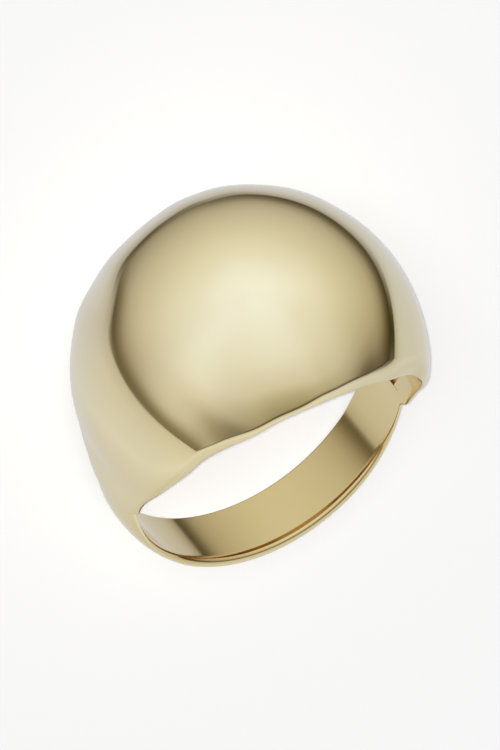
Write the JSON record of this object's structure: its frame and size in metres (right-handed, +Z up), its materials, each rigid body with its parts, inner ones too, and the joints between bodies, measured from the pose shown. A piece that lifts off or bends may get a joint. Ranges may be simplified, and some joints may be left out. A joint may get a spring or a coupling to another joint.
{
  "type": "dome ring",
  "caption": "Polished gold finger ring: a round hollow dome on a narrow thin band, lying on its side.",
  "frame": {"origin": "centre of the finger hole, halfway between the two rims of the dome", "axes": "+Z up from the surface that the ring lies on, -Y from the hole's centre towards the dome, X across the ring"},
  "size_m": [0.02, 0.0232, 0.0163],
  "materials": {
    "gold": "polished"
  },
  "bodies": {
    "root": {"ring": "gold"}
  },
  "joints": []
}
